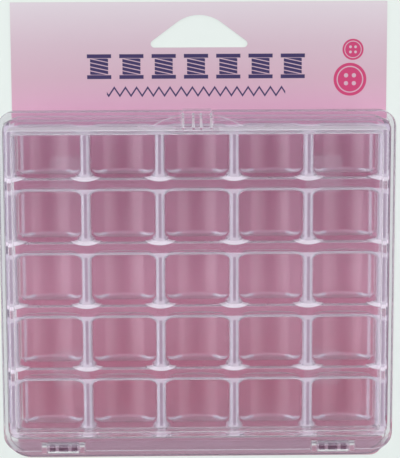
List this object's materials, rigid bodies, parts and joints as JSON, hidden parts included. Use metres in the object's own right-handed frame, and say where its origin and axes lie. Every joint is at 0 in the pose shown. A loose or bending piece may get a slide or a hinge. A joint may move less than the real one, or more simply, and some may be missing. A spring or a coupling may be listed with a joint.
{
  "type": "thread spool storage box",
  "caption": "Flat clear hinged box with a grid of bobbin pockets, a snap latch and a raised lid panel, fixed to a pink hang card with a delta hang hole.",
  "frame": {"origin": "on the back face of the hang card, under the middle of the pocket grid", "axes": "+Z from the card through the box to its lid, +Y from the hinges to the latch and the card's header, +X to the right seen from the lid side with the header up"},
  "size_m": [0.125, 0.1502, 0.026],
  "materials": {
    "pink_card": "coated printed card, pale mauve at the top turning to rose pink",
    "glue_pad": "clear double-sided adhesive pad, slightly hazy",
    "clear_plastic": "clear injection-moulded polystyrene, polished",
    "clear_sheet": "clear vacuum-formed sheet, glossy"
  },
  "bodies": {
    "box": {"hang_card": "pink_card", "glue_pads": "glue_pad", "base": "clear_plastic", "pocket_tray": "clear_sheet"},
    "lid": {"lid": "clear_plastic"}
  },
  "joints": [
    {"name": "lid_hinge", "type": "hinge", "parent": "box", "child": "lid", "pos_m": [0, -0.05452, 0.0177], "axis": [1, 0, 0], "range_deg": [0, 180]}
  ]
}
